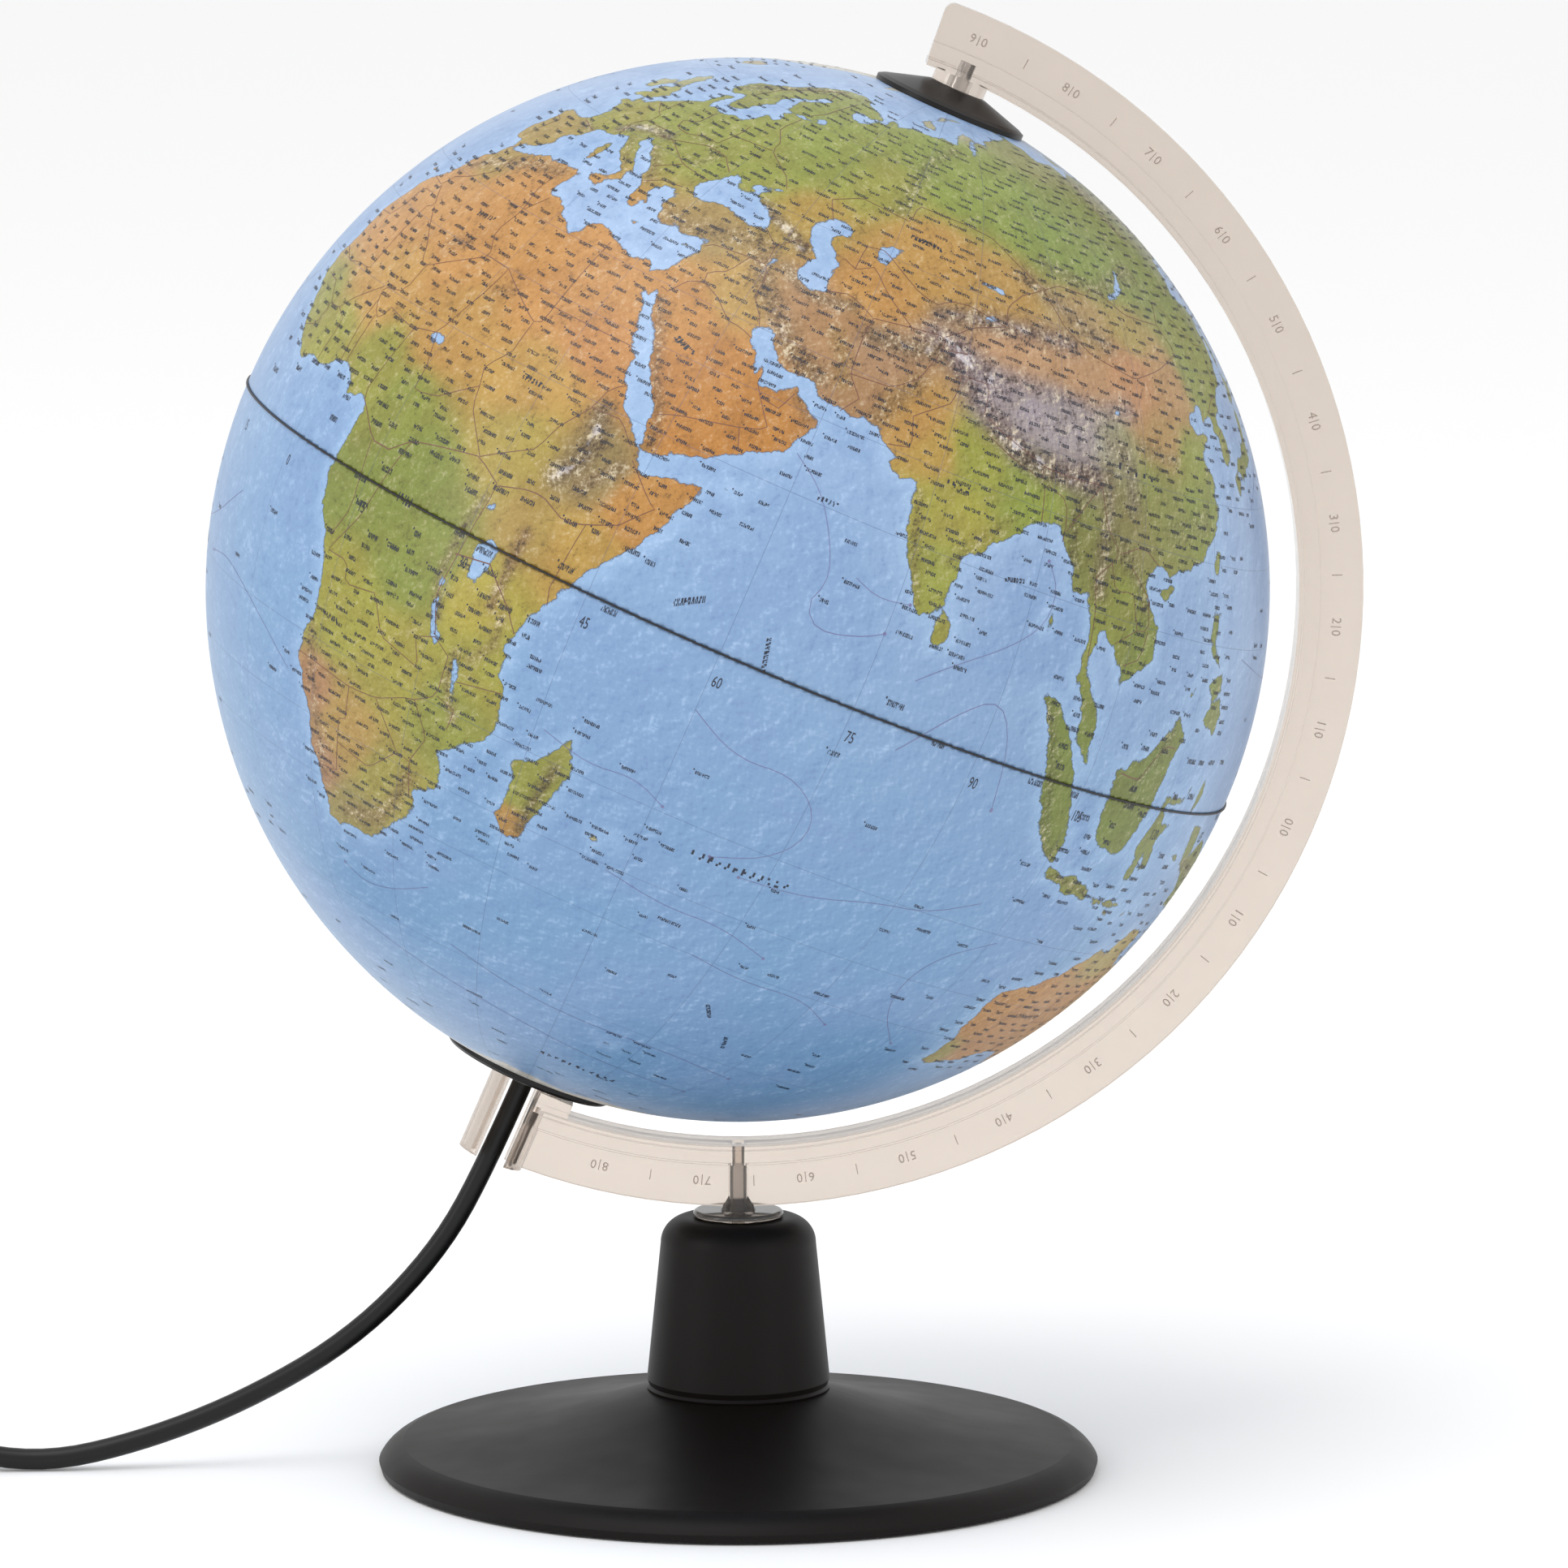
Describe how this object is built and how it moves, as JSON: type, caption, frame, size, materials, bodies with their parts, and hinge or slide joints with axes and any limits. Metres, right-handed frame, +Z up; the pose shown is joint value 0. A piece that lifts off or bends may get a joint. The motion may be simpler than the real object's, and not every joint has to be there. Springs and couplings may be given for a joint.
{
  "type": "desktop globe",
  "caption": "Illuminated desktop globe that spins on a tilted axis, held by a clear meridian arm on a black flared base, with a mains cord and inline switch.",
  "frame": {"origin": "centre of the base's felt rest face", "axes": "+Z up along the stem, +X the side the globe's north pole leans to and the arm passes, -Y the front"},
  "size_m": [0.4546, 0.2875, 0.3625],
  "materials": {
    "black_enamel": "matte black stoved enamel",
    "ballast_steel": "plain rolled steel",
    "cover_board": "moulded black plastic sheet",
    "felt": "pressed black felt",
    "steel_hardware": "zinc plated steel",
    "clear_acrylic": "clear moulded acrylic",
    "nylon": "natural nylon",
    "printed_map": "satin varnished printed map",
    "seam_black": "dark moulded plastic",
    "cap_black": "satin dark moulded plastic",
    "white_moulding": "white moulded plastic",
    "holder_black": "pressed phenolic",
    "brass": "bright turned brass",
    "ceramic": "glazed steatite",
    "lamp_cap_metal": "rolled aluminium",
    "lamp_opal": "opal glass",
    "cord_black": "satin black cord sheath",
    "switch_black": "fine textured black plastic",
    "plug_black": "moulded black plug",
    "plated_pins": "nickel plated brass"
  },
  "bodies": {
    "stand": {"base_shell": "black_enamel", "ballast_disc": "ballast_steel", "base_cover": "cover_board", "felt_pad": "felt", "base_screws": "steel_hardware", "stem": "black_enamel", "tie_screw": "steel_hardware", "tie_washer": "steel_hardware", "meridian_arm": "clear_acrylic", "pivot_pin": "steel_hardware", "thrust_washer": "nylon", "holder_nipple": "brass", "nipple_nut": "brass", "lamp_holder_body": "holder_black", "holder_insulator": "ceramic", "holder_thread_shell": "brass", "holder_centre_contact": "brass", "cord_grip": "nylon", "lamp_cap": "lamp_cap_metal", "lamp_tip": "brass", "lamp_glass": "lamp_opal", "cord_hanging": "cord_black", "cord_to_coil": "cord_black", "cord_coil": "cord_black", "cord_to_plug": "cord_black", "switch_lower": "switch_black", "switch_upper": "switch_black", "rocker_pin": "steel_hardware", "switch_screws": "steel_hardware", "switch_contacts": "brass", "plug_body": "plug_black", "plug_pins": "plated_pins"},
    "globe": {"northern_hemisphere": "printed_map", "southern_hemisphere": "printed_map", "equator_ring": "seam_black", "north_cap": "cap_black", "north_lock_ring": "white_moulding", "south_ring": "cap_black", "south_lock_ring": "white_moulding"},
    "rocker": {"switch_rocker": "switch_black"}
  },
  "joints": [
    {"name": "globe_spin", "type": "hinge", "parent": "stand", "child": "globe", "pos_m": [0, 0, 0.219], "axis": [0.3987, 0, 0.9171], "continuous": true},
    {"name": "rocker_tilt", "type": "hinge", "parent": "stand", "child": "rocker", "pos_m": [-0.224, -0.004, 0.0096], "axis": [0, -1, 0], "range_deg": [0, 20]}
  ]
}
